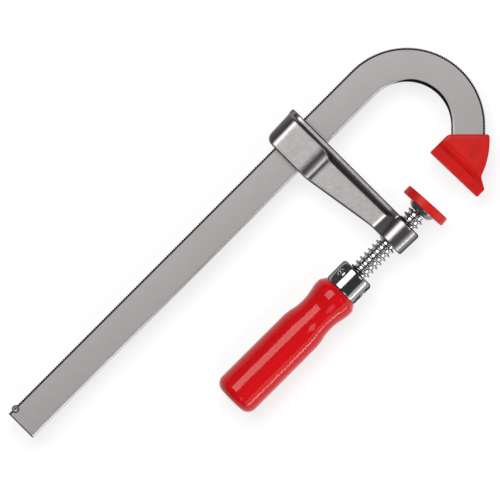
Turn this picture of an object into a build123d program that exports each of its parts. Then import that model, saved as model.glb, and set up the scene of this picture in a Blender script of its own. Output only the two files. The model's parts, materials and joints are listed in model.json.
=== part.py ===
from build123d import *
from math import cos, radians, sin, sqrt
import os

# Light bar clamp: a flat steel rail bent into a hook, a die-cast arm that slides on it,
# and a screw through the arm's foot with a turned wooden handle and a swivelling plate.
#
# Frame, in millimetres: the origin is the centre of the fixed jaw's face, where the
# screw's axis meets it. +X runs along the screw towards the hook, +Y from the screw
# to the rail, and +Z is the thickness of the clamp.

# Rail: flat bar, its outer narrow edge facing away from the screw
RAIL_WIDTH = 15.0
RAIL_THICKNESS = 5.0
RAIL_EDGE_ROUND = 1.0
RAIL_REACH = 211.4
THROAT = 49.7
BEND_START = 0.7
BEND_RADIUS = 26.8
BEND_TURN = 135.0
TAIL_LENGTH = 14.4

# End stop: a punched swelling of the rail's outer edge that keeps the arm on
STOP_FROM_END = 3.6
STOP_RADIUS = 1.55
STOP_PROUD = 0.9
STOP_DIMPLE_RADIUS = 0.8
STOP_DIMPLE_DEPTH = 0.5

# Hook cap: moulded shoe over the rail's bent end, with a broad foot as the jaw
TOE_IN = 1.5
FOOT_ABOVE = 15.1
FOOT_BELOW = 13.2
FOOT_WIDTH = 16.0
FOOT_THICKNESS = 4.1
FOOT_CORNER = 3.2
FOOT_EDGE_BEVEL = 0.6
FOOT_HEEL = 4.6
CAP_WALL = 2.0
CAP_SIDE_WALL = 1.7
CAP_COVER = 10.7
CAP_NECK = (7.8, -8.1)
CAP_BELLY = 1.3
CAP_NECK_ROUND = 2.2
CAP_EDGE_ROUND = 1.2
CAP_SHOULDER = 2.4
CAP_CLEARANCE = 0.1

# Sliding arm: head round the rail, thin web, stiffening rim on the hook side, boss
ARM_FACE_X = -29.2
HEAD_LENGTH = 17.8
HEAD_HALF = 6.0
HEAD_CROWN = 5.7
HEAD_CORNER = 3.0
HEAD_BELOW = 0.9
HEAD_DRAFT = 2.0
SLOT_PLAY = 0.3
STEP_LENGTH = 7.3
WEB_HALF = 2.6
WEB_BACK_EDGE_Y = 45.4
BOSS_LENGTH = 11.9
BOSS_SETBACK = 0.3
BOSS_RADIUS = 7.6
BOSS_DRAFT = 1.7
BOSS_EDGE_BEVEL = 0.9
BOSS_WALL_TILT = 32.0
BOSS_WALL_ROUND = 3.0
RIM_STRIP = 2.3
RIM_SLOPE = 2.0
RIM_SLOPE_DROP = 3.6
RIM_HEAD_HALF = 7.25
RIM_BOSS_HALF = 5.2
RIM_CROWN = 0.6
RIM_EDGE_ROUND = 0.5

# Screw: threaded spindle, with a tang in the handle and a ball stud at the plate
SPINDLE_RADIUS = 4.65
SPINDLE_CHAMFER = 0.6
SPINDLE_SHOULDER = 0.75
BORE_CLEARANCE = 0.06
TANG_SIZE = 6.6
TANG_LENGTH = 42.0
TANG_CORNER = 0.6
TANG_CLEARANCE = 0.05
BALL_RADIUS = 2.5
BALL_NECK_RADIUS = 1.6

# Ferrule: drawn steel sleeve, staked to the handle at three points
FERRULE_FRONT = -59.7
FERRULE_LENGTH = 11.35
FERRULE_RADIUS = 8.25
FERRULE_WALL = 1.0
FERRULE_EDGE_ROUND = 1.5
FERRULE_CLEARANCE = 0.05
STAKE_COUNT = 3
STAKE_ANGLE = 45.0
STAKE_FROM_FRONT = 5.2
STAKE_RADIUS = 1.8
STAKE_PROUD = 0.3
STAKE_PIT_RADIUS = 0.9
STAKE_PIT_DEPTH = 0.6
STAKE_FLAT_DEPTH = 0.3
STAKE_FLAT_LENGTH = 12.0

# Handle: turned wood, widest at the butt, with a waist and a bulge before the ferrule
HANDLE_LENGTH = 67.6
HANDLE_RADIUS = 10.3
HANDLE_SHOULDER = 45.2
HANDLE_SHOULDER_SLOPE = 0.2
HANDLE_WAIST = 53.0
HANDLE_WAIST_RADIUS = 8.75
HANDLE_BULGE = 64.2
HANDLE_BULGE_RADIUS = 10.15
HANDLE_FRONT_RADIUS = 8.4
HANDLE_FRONT_BEVEL = 2.4
HANDLE_BUTT_ROUND = 4.0
HANDLE_BUTT_DOME = 0.6

# Swivelling plate: steel disc with a bowl crimped round the ball, and its moulded cap
PLATE_TILT = 3.2
PLATE_FACE = -16.2
PLATE_CAP_RADIUS = 11.15
PLATE_CAP_FRONT_WALL = 1.0
PLATE_CAP_RIM_WALL = 1.1
PLATE_CAP_LIP = 1.0
PLATE_CAP_LIP_RADIUS = 7.0
PLATE_CAP_BEVEL = 0.5
PLATE_CAP_CLEARANCE = 0.05
DISC_THICKNESS = 2.0
BALL_COVER = 0.5
BALL_CLEARANCE = 0.15
BOWL_BACK_RADIUS = 4.05
BOWL_BACK_LENGTH = 2.25
BOWL_FOOT_RADIUS = 6.6
BOWL_BULGE = 0.5
BOWL_MOUTH_RADIUS = 2.2

# Places that follow from the sizes above
rail_y = THROAT + RAIL_WIDTH / 2
rail_outer_y = THROAT + RAIL_WIDTH
bend_centre = Vector(BEND_START, rail_y - BEND_RADIUS)
tail_angle = 90.0 - BEND_TURN
tail_start = bend_centre + Vector(cos(radians(tail_angle)), sin(radians(tail_angle))) * BEND_RADIUS
tail_heading = Vector(sin(radians(tail_angle)), -cos(radians(tail_angle)))
head_back_x = ARM_FACE_X - HEAD_LENGTH
boss_front_x = ARM_FACE_X - BOSS_SETBACK
boss_back_x = boss_front_x - BOSS_LENGTH
disc_front_x = PLATE_FACE - PLATE_CAP_FRONT_WALL
ball_x = disc_front_x - BALL_COVER - BALL_CLEARANCE - BALL_RADIUS
bowl_back_x = ball_x - BOWL_BACK_LENGTH
spindle_front_x = bowl_back_x - SPINDLE_SHOULDER
handle_front_x = FERRULE_FRONT - FERRULE_LENGTH
handle_butt_x = handle_front_x - HANDLE_LENGTH


def mirrored_across_z(face_half):
    """A section drawn on the YZ plane for z above 0, joined to its mirror image."""
    return face_half + mirror(face_half, about=Plane.XY)


def turned(*edges):
    """A solid turned about the X axis from the edges of its upper half section."""
    return revolve(make_face(edges), axis=Axis.X)


def rail_section(growth=0.0):
    """The rail's rounded rectangle, larger all round by growth."""
    return RectangleRounded(
        RAIL_WIDTH + 2 * growth,
        RAIL_THICKNESS + 2 * growth,
        RAIL_EDGE_ROUND + growth,
    )


def build_rail():
    """Flat bar with a straight run, the hook's bend and the short tail under the cap."""
    run = Line((-RAIL_REACH, rail_y), (BEND_START, rail_y))
    bend = CenterArc(bend_centre, BEND_RADIUS, 90, -BEND_TURN)
    tail = Line(bend @ 1, (bend @ 1) + tail_heading * TAIL_LENGTH)
    start = Plane(origin=run @ 0, x_dir=(0, 1, 0), z_dir=(1, 0, 0))
    bar = sweep(start * rail_section(), path=Wire([run, bend, tail]))

    stop_x = -RAIL_REACH + STOP_FROM_END
    stop_y = rail_outer_y + STOP_PROUD - STOP_RADIUS
    bar += Pos(stop_x, stop_y, 0) * Cylinder(STOP_RADIUS, RAIL_THICKNESS)
    for turn in (0, 180):
        punch = Rot(turn, 0, 0) * Pos(0, 0, (RAIL_THICKNESS - STOP_DIMPLE_DEPTH) / 2) * Cone(
            0, STOP_DIMPLE_RADIUS, STOP_DIMPLE_DEPTH
        )
        bar -= Pos(stop_x, stop_y, 0) * punch
    return bar


def tail_pocket():
    """The space that the rail's tail fills in the cap, with its clearance."""
    mouth = Plane(origin=tail_start, x_dir=(-tail_heading.Y, tail_heading.X, 0), z_dir=tail_heading)
    return extrude(mouth * rail_section(CAP_CLEARANCE), TAIL_LENGTH + CAP_CLEARANCE)


def build_hook_cap():
    """Moulded shoe: a wedge round the rail's tail on a foot that is the fixed jaw."""
    face_dir = Vector(-sin(radians(TOE_IN)), cos(radians(TOE_IN)))
    face_top = face_dir * (FOOT_ABOVE / face_dir.Y)
    face_foot = face_dir * (-FOOT_BELOW / face_dir.Y)
    mouth_centre = tail_start + tail_heading * (TAIL_LENGTH - CAP_COVER)
    across = Vector(-tail_heading.Y, tail_heading.X)
    mouth_half = RAIL_WIDTH / 2 + CAP_SIDE_WALL
    mouth_outer = mouth_centre + across * mouth_half
    mouth_inner = mouth_centre - across * mouth_half
    mouth_top = Vector(mouth_inner.X + mouth_inner.Y - FOOT_ABOVE, FOOT_ABOVE)
    neck = Vector(*CAP_NECK)
    heel = face_foot + Vector(FOOT_HEEL - face_foot.X, 0)
    chord = neck - mouth_outer
    belly = (neck + mouth_outer) * 0.5 + Vector(chord.Y, -chord.X).normalized() * -CAP_BELLY

    outline = make_face(
        [
            Line(face_top, mouth_top),
            Line(mouth_top, mouth_outer),
            ThreePointArc(mouth_outer, belly, neck),
            Line(neck, heel),
            Line(heel, face_foot),
            Line(face_foot, face_top),
        ]
    )
    neck_corner = outline.vertices().sort_by_distance(neck)[0]
    outline = fillet(neck_corner, CAP_NECK_ROUND)
    body_half = RAIL_THICKNESS / 2 + CAP_WALL
    body = extrude(outline, body_half, both=True)
    rims = body.edges().filter_by_position(Axis.Z, body_half, body_half)
    rims += body.edges().filter_by_position(Axis.Z, -body_half, -body_half)
    body = fillet(rims, CAP_EDGE_ROUND)

    foot_middle = face_dir * ((FOOT_ABOVE - FOOT_BELOW) / 2)
    inwards = Vector(face_dir.Y, -face_dir.X)
    foot_plane = Plane(origin=foot_middle, x_dir=face_dir, z_dir=inwards)
    foot_length = (FOOT_ABOVE + FOOT_BELOW) / face_dir.Y
    foot = extrude(
        foot_plane * RectangleRounded(foot_length, FOOT_WIDTH, FOOT_CORNER),
        FOOT_THICKNESS,
    )
    foot_edges = foot.faces().sort_by(Axis(foot_middle, inwards))[0].edges()
    foot_edges += foot.faces().sort_by(Axis(foot_middle, inwards))[-1].edges()
    foot = chamfer(foot_edges, FOOT_EDGE_BEVEL)

    shoulder_plane = Plane(origin=foot_middle, x_dir=inwards, z_dir=face_dir)
    shoulder_foot = FOOT_THICKNESS - FOOT_EDGE_BEVEL
    shoulder_end = FOOT_THICKNESS + CAP_SHOULDER
    shoulder_half = body_half + CAP_SHOULDER
    shoulder_profile = make_face(
        Polyline(
            (shoulder_foot, -shoulder_half),
            (FOOT_THICKNESS, -shoulder_half),
            (shoulder_end, -body_half),
            (shoulder_end, body_half),
            (FOOT_THICKNESS, shoulder_half),
            (shoulder_foot, shoulder_half),
            close=True,
        )
    )
    shoulder = extrude(shoulder_plane * shoulder_profile, foot_length, both=True)
    shoulder &= extrude(outline, shoulder_half, both=True)
    return body + foot + shoulder - tail_pocket()


def arm_section(growth):
    """Upper half of the arm's section across the rail, larger all round by growth."""
    head_half = HEAD_HALF + growth
    crown_y = rail_outer_y + HEAD_CROWN + growth
    step_top = THROAT + HEAD_BELOW
    step_foot = step_top - STEP_LENGTH
    tilt = radians(BOSS_WALL_TILT)
    boss = BOSS_RADIUS + growth
    wall_top = Vector(0, boss * sin(tilt), boss * cos(tilt))
    wall_foot_z = WEB_HALF + BOSS_WALL_ROUND * (1 - cos(tilt))
    wall_run = (wall_top.Z - wall_foot_z) / sin(tilt)
    wall_foot = wall_top + Vector(0, cos(tilt), -sin(tilt)) * wall_run
    web_foot = Vector(0, wall_foot.Y + BOSS_WALL_ROUND * sin(tilt), WEB_HALF)
    blend = Vector(0, web_foot.Y - BOSS_WALL_ROUND * sin(tilt / 2),
                   WEB_HALF + BOSS_WALL_ROUND * (1 - cos(tilt / 2)))
    crown = Vector(0, crown_y - head_half * (1 - sqrt(0.5)), head_half * sqrt(0.5))
    return make_face(
        [
            Line((0, 0, 0), (0, crown_y, 0)),
            ThreePointArc((0, crown_y, 0), crown, (0, crown_y - head_half, head_half)),
            Line((0, crown_y - head_half, head_half), (0, step_top, head_half)),
            Spline((0, step_top, head_half), (0, step_foot, WEB_HALF),
                   tangents=((0, -1, 0), (0, -1, 0))),
            Line((0, step_foot, WEB_HALF), web_foot),
            ThreePointArc(web_foot, blend, wall_foot),
            Line(wall_foot, wall_top),
            Line(wall_top, (0, 0, 0)),
        ]
    )


def rim_section(inset):
    """Upper half of the hook-side rim's section, smaller all round by inset."""
    head_half = RIM_HEAD_HALF - inset
    boss_half = RIM_BOSS_HALF - inset
    crown_y = rail_outer_y + HEAD_CROWN + RIM_CROWN - inset
    crown = Vector(0, crown_y - head_half * (1 - sqrt(0.5)), head_half * sqrt(0.5))
    return make_face(
        [
            Line((0, 0, 0), (0, crown_y, 0)),
            ThreePointArc((0, crown_y, 0), crown, (0, crown_y - head_half, head_half)),
            Line((0, crown_y - head_half, head_half), (0, 0, boss_half)),
            Line((0, 0, boss_half), (0, 0, 0)),
        ]
    )


def build_sliding_arm():
    """Die-cast arm: T-shaped in section, with a slot for the rail and a bored boss."""
    draft = HEAD_LENGTH * sin(radians(HEAD_DRAFT))
    back = Pos(head_back_x, 0, 0) * mirrored_across_z(arm_section(-draft))
    front = Pos(ARM_FACE_X, 0, 0) * mirrored_across_z(arm_section(0.0))
    core = loft([back, front], ruled=True)

    margin = BOSS_RADIUS + HEAD_HALF
    outer_y = rail_outer_y + HEAD_CROWN + margin
    corner_y = rail_outer_y + HEAD_CROWN - draft
    side_view = make_face(
        Polyline(
            (boss_back_x, -margin),
            (boss_back_x, BOSS_RADIUS + BOSS_WALL_ROUND),
            (head_back_x, WEB_BACK_EDGE_Y),
            (head_back_x, corner_y - HEAD_CORNER),
            (head_back_x + HEAD_CORNER, corner_y),
            (head_back_x + HEAD_CORNER, outer_y),
            (boss_front_x, outer_y),
            (boss_front_x, -margin),
            close=True,
        )
    )
    side_view += Pos(head_back_x + HEAD_CORNER, corner_y - HEAD_CORNER) * Circle(HEAD_CORNER)
    core &= extrude(side_view, margin, both=True)

    strip_x = ARM_FACE_X - RIM_STRIP
    strip = extrude(
        Pos(strip_x, 0, 0) * mirrored_across_z(rim_section(0.0)),
        RIM_STRIP,
        dir=(1, 0, 0),
    )
    slope = loft(
        [
            Pos(strip_x - RIM_SLOPE, 0, 0) * mirrored_across_z(rim_section(RIM_SLOPE_DROP)),
            Pos(strip_x, 0, 0) * mirrored_across_z(rim_section(0.0)),
        ],
        ruled=True,
    )
    boss_back_radius = BOSS_RADIUS - BOSS_LENGTH * sin(radians(BOSS_DRAFT))
    bevel_foot = BOSS_RADIUS - BOSS_EDGE_BEVEL
    boss = turned(
        Line((boss_back_x, 0), (boss_back_x, boss_back_radius)),
        Line((boss_back_x, boss_back_radius), (boss_front_x - BOSS_EDGE_BEVEL, BOSS_RADIUS)),
        Line((boss_front_x - BOSS_EDGE_BEVEL, BOSS_RADIUS), (boss_front_x, bevel_foot)),
        Line((boss_front_x, bevel_foot), (boss_front_x, 0)),
        Line((boss_front_x, 0), (boss_back_x, 0)),
    )
    arm = core + strip + slope + boss
    face_edges = arm.edges().filter_by_position(Axis.X, ARM_FACE_X, ARM_FACE_X)
    rim_sides = [edge for edge in face_edges if abs(edge.center().Z) > RIM_BOSS_HALF]
    rim_end = face_edges.sort_by(Axis.Y)[-1:]
    arm = fillet(rim_sides + rim_end, RIM_EDGE_ROUND)

    slot_middle = (head_back_x + ARM_FACE_X) / 2
    arm -= Pos(slot_middle, rail_y, 0) * Box(
        HEAD_LENGTH + margin,
        RAIL_WIDTH + 2 * SLOT_PLAY,
        RAIL_THICKNESS + 2 * SLOT_PLAY,
    )
    bore_middle = (boss_back_x + boss_front_x) / 2
    arm -= Pos(bore_middle, 0, 0) * Rot(0, 90, 0) * Cylinder(
        SPINDLE_RADIUS + BORE_CLEARANCE,
        BOSS_LENGTH + margin,
    )
    return arm


def build_spindle():
    """Round threaded bar, with a square tang that keeps the handle from turning on it."""
    chamfer_r = SPINDLE_RADIUS - SPINDLE_CHAMFER
    bar = turned(
        Line((handle_front_x, 0), (handle_front_x, SPINDLE_RADIUS)),
        Line((handle_front_x, SPINDLE_RADIUS), (spindle_front_x - SPINDLE_CHAMFER, SPINDLE_RADIUS)),
        Line((spindle_front_x - SPINDLE_CHAMFER, SPINDLE_RADIUS), (spindle_front_x, chamfer_r)),
        Line((spindle_front_x, chamfer_r), (spindle_front_x, 0)),
        Line((spindle_front_x, 0), (handle_front_x, 0)),
    )
    return bar + tang()


def tang(growth=0.0):
    """The spindle's square end inside the handle, larger all round by growth."""
    root = Plane(origin=(handle_front_x, 0, 0), z_dir=(-1, 0, 0))
    side = TANG_SIZE + 2 * growth
    return extrude(root * RectangleRounded(side, side, TANG_CORNER + growth), TANG_LENGTH + growth)


def build_spindle_ball():
    """Ball stud at the spindle's front end, which the plate's bowl is crimped round."""
    stud = Pos(ball_x, 0, 0) * Sphere(BALL_RADIUS)
    neck_length = ball_x - spindle_front_x
    neck = Pos(ball_x - neck_length / 2, 0, 0) * Rot(0, 90, 0) * Cylinder(BALL_NECK_RADIUS, neck_length)
    return stud + neck


def build_ferrule():
    """Drawn cup over the handle's nose, flattened and punched where it is staked."""
    back = handle_front_x
    front = FERRULE_FRONT
    inner = FERRULE_RADIUS - FERRULE_WALL
    hole = SPINDLE_RADIUS + TANG_CLEARANCE
    sleeve = turned(
        Line((back, inner), (back, FERRULE_RADIUS)),
        Line((back, FERRULE_RADIUS), (front - FERRULE_EDGE_ROUND, FERRULE_RADIUS)),
        RadiusArc(
            (front - FERRULE_EDGE_ROUND, FERRULE_RADIUS),
            (front, FERRULE_RADIUS - FERRULE_EDGE_ROUND),
            FERRULE_EDGE_ROUND,
        ),
        Line((front, FERRULE_RADIUS - FERRULE_EDGE_ROUND), (front, hole)),
        Line((front, hole), (front - FERRULE_WALL, hole)),
        Line((front - FERRULE_WALL, hole), (front - FERRULE_WALL, inner)),
        Line((front - FERRULE_WALL, inner), (back, inner)),
    )
    stake_x = front - STAKE_FROM_FRONT
    press_radius = (STAKE_FLAT_LENGTH / 2) ** 2 / (2 * STAKE_FLAT_DEPTH)
    press_axis = FERRULE_RADIUS - STAKE_FLAT_DEPTH + press_radius
    for number in range(STAKE_COUNT):
        turn = Rot(STAKE_ANGLE - 90 + number * 360 / STAKE_COUNT, 0, 0)
        press = Pos(stake_x, 0, press_axis) * Rot(90, 0, 0) * Cylinder(press_radius, 2 * FERRULE_RADIUS)
        pad_foot = FERRULE_RADIUS - FERRULE_WALL / 2
        pad_top = FERRULE_RADIUS + STAKE_PROUD
        pad = Pos(stake_x, 0, (pad_foot + pad_top) / 2) * Cylinder(STAKE_RADIUS, pad_top - pad_foot)
        pit = Pos(stake_x, 0, pad_top - STAKE_PIT_DEPTH / 2) * Cone(
            0, STAKE_PIT_RADIUS, STAKE_PIT_DEPTH
        )
        sleeve = sleeve - turn * press + turn * pad - turn * pit
    return sleeve


def build_handle():
    """Turned grip with a nose that fills the ferrule and a square hole for the tang."""
    butt = handle_butt_x
    front = handle_front_x
    nose_radius = FERRULE_RADIUS - FERRULE_WALL - FERRULE_CLEARANCE
    nose_front = FERRULE_FRONT - FERRULE_WALL - FERRULE_CLEARANCE
    hole_radius = SPINDLE_RADIUS + TANG_CLEARANCE
    round_x = butt + HANDLE_BUTT_DOME
    shoulder = Vector(butt + HANDLE_SHOULDER, HANDLE_RADIUS)
    waist = Vector(butt + HANDLE_WAIST, HANDLE_WAIST_RADIUS)
    bulge = Vector(butt + HANDLE_BULGE, HANDLE_BULGE_RADIUS)
    bevel = Vector(front - HANDLE_FRONT_BEVEL, HANDLE_BULGE_RADIUS)
    round_top = (round_x + HANDLE_BUTT_ROUND, HANDLE_RADIUS)
    round_foot = (round_x, HANDLE_RADIUS - HANDLE_BUTT_ROUND)
    grip = turned(
        Line((butt, 0), round_foot),
        RadiusArc(round_foot, round_top, HANDLE_BUTT_ROUND),
        Line(round_top, shoulder),
        Spline(shoulder, waist, bulge, tangents=((1, -HANDLE_SHOULDER_SLOPE), (1, 0))),
        Line(bulge, bevel),
        Line(bevel, (front, HANDLE_FRONT_RADIUS)),
        Line((front, HANDLE_FRONT_RADIUS), (front, nose_radius)),
        Line((front, nose_radius), (nose_front, nose_radius)),
        Line((nose_front, nose_radius), (nose_front, hole_radius)),
        Line((nose_front, hole_radius), (front, hole_radius)),
        Line((front, hole_radius), (front, 0)),
        Line((front, 0), (butt, 0)),
    )
    return grip - tang(TANG_CLEARANCE)


def tilted_on_ball(shape):
    """The plate as it hangs in the photograph: its rail side leans to the handle."""
    return Pos(ball_x, 0, 0) * Rot(0, 0, PLATE_TILT) * Pos(-ball_x, 0, 0) * shape


def build_swivel_plate():
    """Steel disc with a bowl behind it that wraps more than half of the ball."""
    disc_radius = PLATE_CAP_RADIUS - PLATE_CAP_RIM_WALL
    disc_back = disc_front_x - DISC_THICKNESS
    plate = turned(
        Line((disc_front_x, 0), (disc_front_x, disc_radius)),
        Line((disc_front_x, disc_radius), (disc_back, disc_radius)),
        Line((disc_back, disc_radius), (disc_back, BOWL_FOOT_RADIUS)),
        SagittaArc((bowl_back_x, BOWL_BACK_RADIUS), (disc_back, BOWL_FOOT_RADIUS), BOWL_BULGE),
        Line((bowl_back_x, BOWL_BACK_RADIUS), (bowl_back_x, 0)),
        Line((bowl_back_x, 0), (disc_front_x, 0)),
    )
    plate -= Pos(ball_x, 0, 0) * Sphere(BALL_RADIUS + BALL_CLEARANCE)
    plate -= Pos(bowl_back_x, 0, 0) * Rot(0, 90, 0) * Cylinder(BOWL_MOUTH_RADIUS, BOWL_BACK_LENGTH)
    return tilted_on_ball(plate)


def build_plate_cap():
    """Moulded cap over the disc: front wall, rim, and a lip that snaps behind it."""
    inner = PLATE_CAP_RADIUS - PLATE_CAP_RIM_WALL + PLATE_CAP_CLEARANCE
    disc_back = disc_front_x - DISC_THICKNESS - PLATE_CAP_CLEARANCE
    cap_back = disc_back - PLATE_CAP_LIP
    edge = PLATE_CAP_RADIUS
    cap = turned(
        Line((PLATE_FACE, 0), (PLATE_FACE, edge - PLATE_CAP_BEVEL)),
        Line((PLATE_FACE, edge - PLATE_CAP_BEVEL), (PLATE_FACE - PLATE_CAP_BEVEL, edge)),
        Line((PLATE_FACE - PLATE_CAP_BEVEL, edge), (cap_back + PLATE_CAP_BEVEL, edge)),
        Line((cap_back + PLATE_CAP_BEVEL, edge), (cap_back, edge - PLATE_CAP_BEVEL)),
        Line((cap_back, edge - PLATE_CAP_BEVEL), (cap_back, PLATE_CAP_LIP_RADIUS)),
        Line((cap_back, PLATE_CAP_LIP_RADIUS), (disc_back, PLATE_CAP_LIP_RADIUS)),
        Line((disc_back, PLATE_CAP_LIP_RADIUS), (disc_back, inner)),
        Line((disc_back, inner), (disc_front_x, inner)),
        Line((disc_front_x, inner), (disc_front_x, 0)),
        Line((disc_front_x, 0), (PLATE_FACE, 0)),
    )
    return tilted_on_ball(cap)


PIECES = {
    "rail": build_rail,
    "hook_cap": build_hook_cap,
    "sliding_arm": build_sliding_arm,
    "spindle": build_spindle,
    "spindle_ball": build_spindle_ball,
    "ferrule": build_ferrule,
    "handle": build_handle,
    "swivel_plate": build_swivel_plate,
    "plate_cap": build_plate_cap,
}

os.makedirs("parts", exist_ok=True)
for node, build in PIECES.items():
    piece = build()
    export_step(piece, f"parts/{node}.step")
    print(node, round(piece.volume, 1))
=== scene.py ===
# %% [markdown]
# This notebook dresses a light bar clamp: a flat steel rail bent into a hook, a die-cast
# arm that slides on it, and a screw with a turned red handle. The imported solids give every
# place and the main sizes, and each visible piece is modelled again with the detail that a
# camera sees. Loading the frame comes first, because later cells read sizes from it.

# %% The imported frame
import json
from math import atan2, cos, pi, radians, sin, tan

import bmesh
import bpy
from mathutils import Matrix, Vector, noise


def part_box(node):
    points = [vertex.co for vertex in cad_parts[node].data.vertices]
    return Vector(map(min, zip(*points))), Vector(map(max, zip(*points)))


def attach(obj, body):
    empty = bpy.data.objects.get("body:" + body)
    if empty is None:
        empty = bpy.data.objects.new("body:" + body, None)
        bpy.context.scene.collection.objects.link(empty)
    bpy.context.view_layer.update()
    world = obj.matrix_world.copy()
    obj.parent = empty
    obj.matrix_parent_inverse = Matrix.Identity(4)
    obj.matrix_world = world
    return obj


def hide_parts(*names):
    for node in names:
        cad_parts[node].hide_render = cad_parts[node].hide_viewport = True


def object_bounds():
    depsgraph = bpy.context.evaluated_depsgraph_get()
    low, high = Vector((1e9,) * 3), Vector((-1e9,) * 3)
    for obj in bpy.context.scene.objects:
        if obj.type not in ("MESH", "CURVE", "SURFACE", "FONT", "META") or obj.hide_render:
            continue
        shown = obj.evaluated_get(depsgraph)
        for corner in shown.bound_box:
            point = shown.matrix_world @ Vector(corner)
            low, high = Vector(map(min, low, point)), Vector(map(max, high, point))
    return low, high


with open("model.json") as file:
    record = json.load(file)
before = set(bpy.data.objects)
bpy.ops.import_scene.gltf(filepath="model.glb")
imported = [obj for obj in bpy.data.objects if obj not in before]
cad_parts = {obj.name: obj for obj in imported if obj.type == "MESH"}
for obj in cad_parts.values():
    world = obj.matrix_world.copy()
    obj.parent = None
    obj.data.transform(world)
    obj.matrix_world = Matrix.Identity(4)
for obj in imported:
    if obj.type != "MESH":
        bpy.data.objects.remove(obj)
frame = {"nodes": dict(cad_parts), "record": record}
cad_low, cad_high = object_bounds()
print("nodes:", sorted(frame["nodes"]))

# %% [markdown]
# Everything is drawn in millimetres, while Blender and the frame use metres. Each finished
# piece is scaled down once, at its end, and its object stays at the origin, untouched.

# %% Millimetres
MM = 0.001


def node_box(name):
    """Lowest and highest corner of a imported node, in millimetres."""
    low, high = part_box(name)
    return Vector(low) / MM, Vector(high) / MM


for name in sorted(frame["nodes"]):
    low, high = node_box(name)
    print(name, "size", [round(side, 2) for side in high - low])

# %% [markdown]
# Most pieces start as a flat outline. A vertex bevel turns a sharp corner into a round one,
# so an outline lists its true corners and how far along its edges each rounding reaches:
# for an arc of radius r, that is r times the tangent of half the turn.

# %% Flat outlines
CORNER_SEGMENTS = 8


def reach_of(radius, turn):
    """How far a round corner reaches along its edges, for a turn in degrees."""
    return radius * tan(radians(turn) / 2)


def rounded(bm, made, corners, segments):
    """The mesh with each of its corners (a, b, reach) rounded."""
    for vert, (a, b, reach) in zip(made, corners):
        if reach > 0:
            bmesh.ops.bevel(
                bm, geom=[vert], offset=reach, offset_type="OFFSET", segments=segments,
                profile=0.5, affect="VERTICES", material=-1, clamp_overlap=True,
            )
    return bm


def plate(corners, place=lambda a, b: Vector((a, b, 0.0)), segments=CORNER_SEGMENTS):
    """A one-face mesh from corners (a, b, reach), put in space by place."""
    bm = bmesh.new()
    made = [bm.verts.new(place(a, b)) for a, b, reach in corners]
    bm.faces.new(made)
    return rounded(bm, made, corners, segments)


def raised(bm, shift):
    """The plate drawn out along shift, as a closed solid."""
    grown = bmesh.ops.extrude_face_region(bm, geom=bm.faces[:])
    top = [part for part in grown["geom"] if isinstance(part, bmesh.types.BMVert)]
    bmesh.ops.translate(bm, vec=shift, verts=top)
    bmesh.ops.recalc_face_normals(bm, faces=bm.faces)
    return bm


# %% [markdown]
# The screw, the ferrule, the handle and the swivelling plate are turned about the screw's
# axis, which is X. A wire is drawn above the axis, its corners are rounded in the same way,
# and one full spin sweeps it. Merging the points on the axis closes the poles.

# %% Turned shapes
MERGE = 0.0005


def wire(corners, segments=CORNER_SEGMENTS):
    """An open wire through corners (x, radius, reach), above the X axis."""
    bm = bmesh.new()
    made = [bm.verts.new((x, r, 0.0)) for x, r, reach in corners]
    for near, far in zip(made, made[1:]):
        bm.edges.new((near, far))
    return rounded(bm, made, corners, segments)


def spun(bm, steps=96):
    """The wire swept once round the X axis."""
    bmesh.ops.spin(
        bm, geom=bm.verts[:] + bm.edges[:], cent=(0, 0, 0), axis=(1, 0, 0), dvec=(0, 0, 0),
        angle=2 * pi, steps=steps, use_merge=True, use_normal_flip=False, use_duplicate=False,
    )
    bmesh.ops.remove_doubles(bm, verts=bm.verts, dist=MERGE)
    bmesh.ops.recalc_face_normals(bm, faces=bm.faces)
    return bm


def turned(corners, steps=96):
    """A solid spun from corners (x, radius, reach), closed flat to the axis at both ends."""
    first, last = [(corner[0], 0.0, 0.0) for corner in (corners[0], corners[-1])]
    return spun(wire([first, *corners, last]), steps=steps)


# %% [markdown]
# Some shapes are easiest as solids joined to or cut from each other. A Boolean modifier on
# two temporary objects does that, and its result is read back into a mesh straight away.

# %% Joining and cutting solids
def mesh_from(bm, name):
    """The drawing as a mesh."""
    mesh = bpy.data.meshes.new(name)
    bm.to_mesh(mesh)
    bm.free()
    return mesh


def linked(name, data):
    """A new object in the scene."""
    made = bpy.data.objects.new(name, data)
    bpy.context.scene.collection.objects.link(made)
    return made


def temporary(bm, name):
    """A short-lived object with this drawing."""
    bmesh.ops.recalc_face_normals(bm, faces=bm.faces)
    return linked(name, mesh_from(bm, name))


def read_back(made):
    """The object's mesh with its modifiers applied, as a drawing. The object is removed."""
    shown = made.evaluated_get(bpy.context.evaluated_depsgraph_get())
    bm = bmesh.new()
    bm.from_mesh(shown.to_mesh())
    shown.to_mesh_clear()
    bpy.data.meshes.remove(made.data)
    return bm


def combined(base, tool, operation):
    """base with tool joined on (UNION), cut away (DIFFERENCE) or in common (INTERSECT)."""
    solid = temporary(base, "solid")
    other = temporary(tool, "other")
    modifier = solid.modifiers.new("combine", "BOOLEAN")
    modifier.operation = operation
    modifier.solver = "EXACT"
    modifier.object = other
    bm = read_back(solid)
    bpy.data.meshes.remove(other.data)
    return bm


def whole(bm):
    """All of a drawing, as the operators take it."""
    return bm.verts[:] + bm.edges[:] + bm.faces[:]


def sliced(bm, point, normal, **options):
    """Cuts the drawing by the plane through point."""
    return bmesh.ops.bisect_plane(
        bm, geom=whole(bm), dist=MERGE, plane_co=point, plane_no=normal, **options,
    )


# %% [markdown]
# Castings and mouldings have no sharp corner, because the melt has to flow and the part has
# to leave its mould. A voxel remesh gives the whole solid one even skin, and a few rounds
# of vertex smoothing then round every corner by about the size of a few voxels.

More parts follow.
